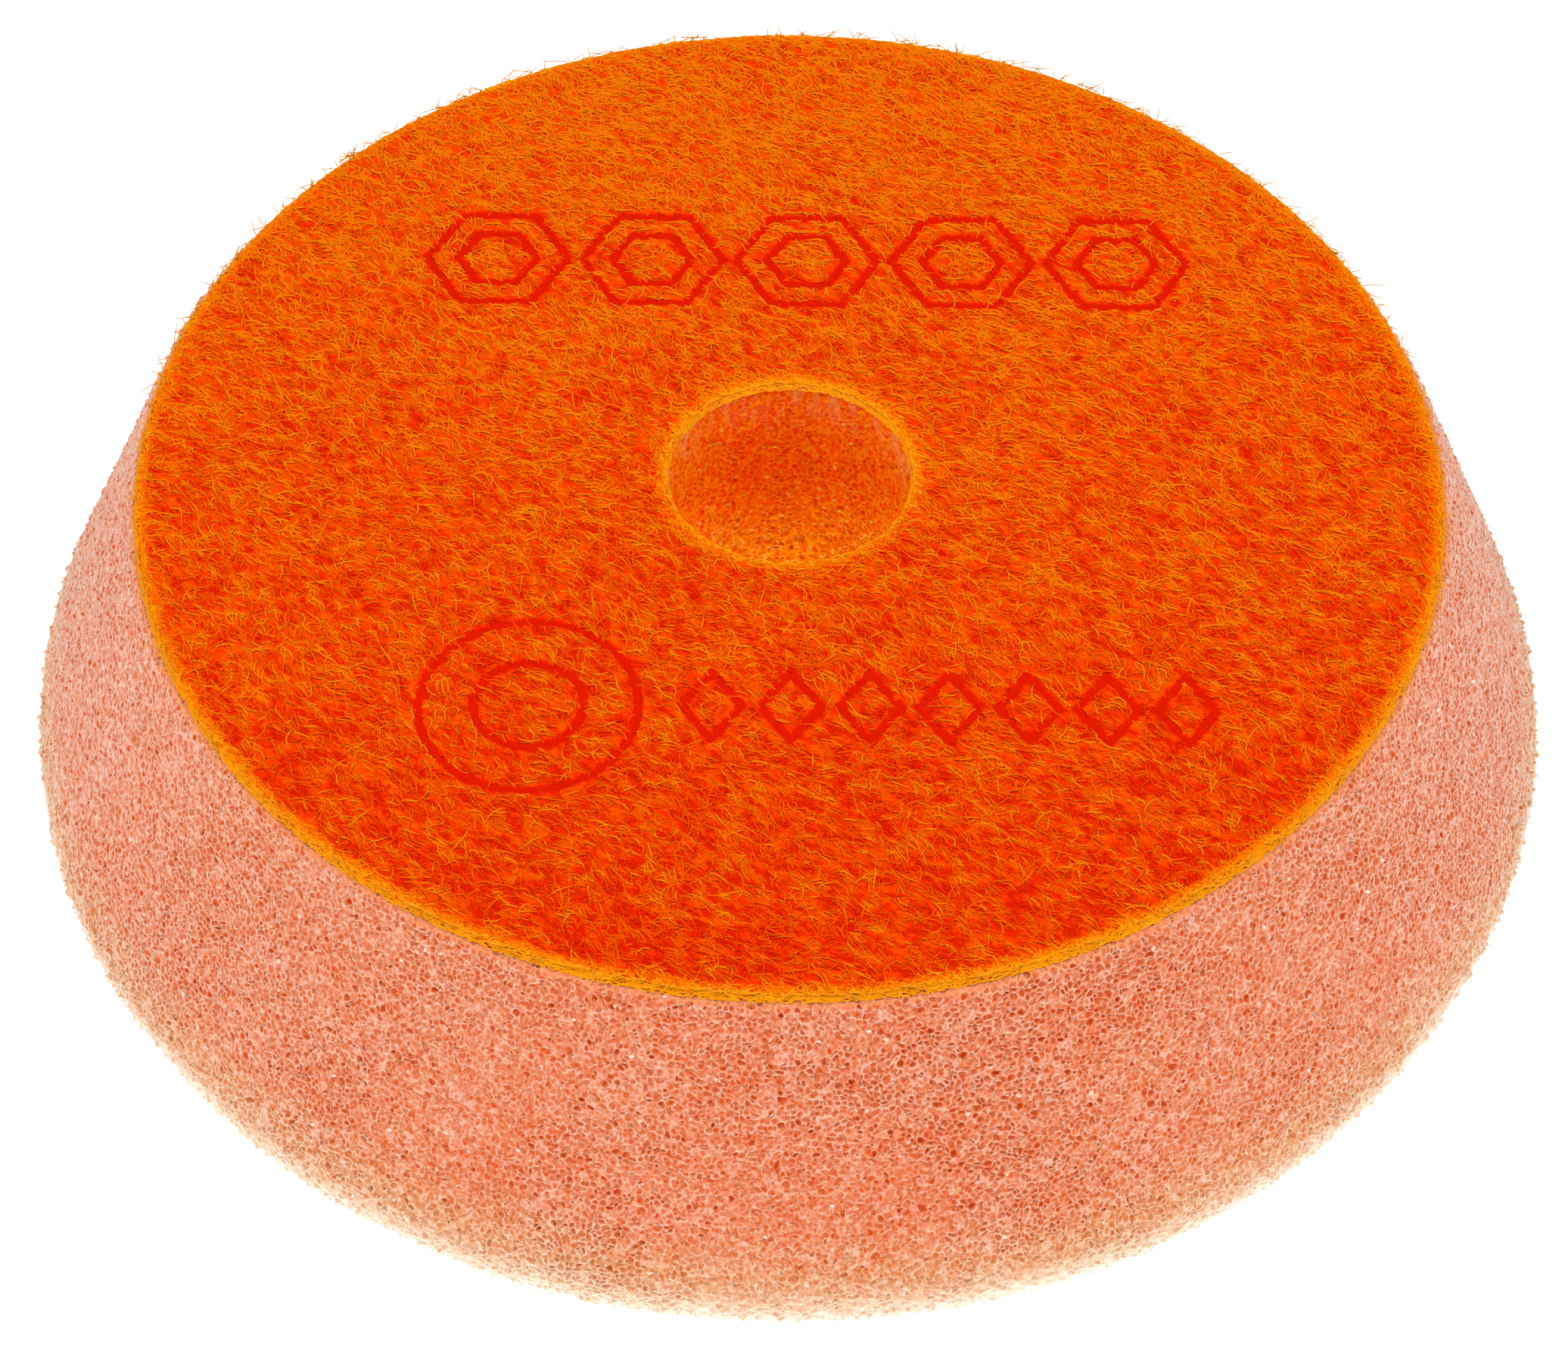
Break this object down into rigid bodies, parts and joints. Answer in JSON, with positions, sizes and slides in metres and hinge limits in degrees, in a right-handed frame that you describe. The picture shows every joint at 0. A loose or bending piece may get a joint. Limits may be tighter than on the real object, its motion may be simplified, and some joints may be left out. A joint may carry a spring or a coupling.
{
  "type": "polishing pad",
  "caption": "Round cone-sided foam polishing pad with a hook-and-loop backing and a central through hole.",
  "frame": {"origin": "on the pad's axis, in the plane of the flat working face that the pad lies on", "axes": "+Z along the pad's axis, from the working face to the loop pile; X and Y are in the working face"},
  "size_m": [0.101, 0.101, 0.025],
  "materials": {
    "foam": "matte",
    "adhesive": "satin",
    "knit": "matte",
    "pile": "matte"
  },
  "bodies": {
    "foam": {"foam_body": "foam"},
    "backing": {"adhesive_film": "adhesive", "backing_knit": "knit", "loop_pile": "pile"}
  },
  "joints": [
    {"name": "foam_compression", "type": "slide", "parent": "foam", "child": "backing", "axis": [0, 0, -1], "range_m": [0, 0.01], "stiffness_N_per_m": 5000, "deforming": ["foam_body"]}
  ]
}
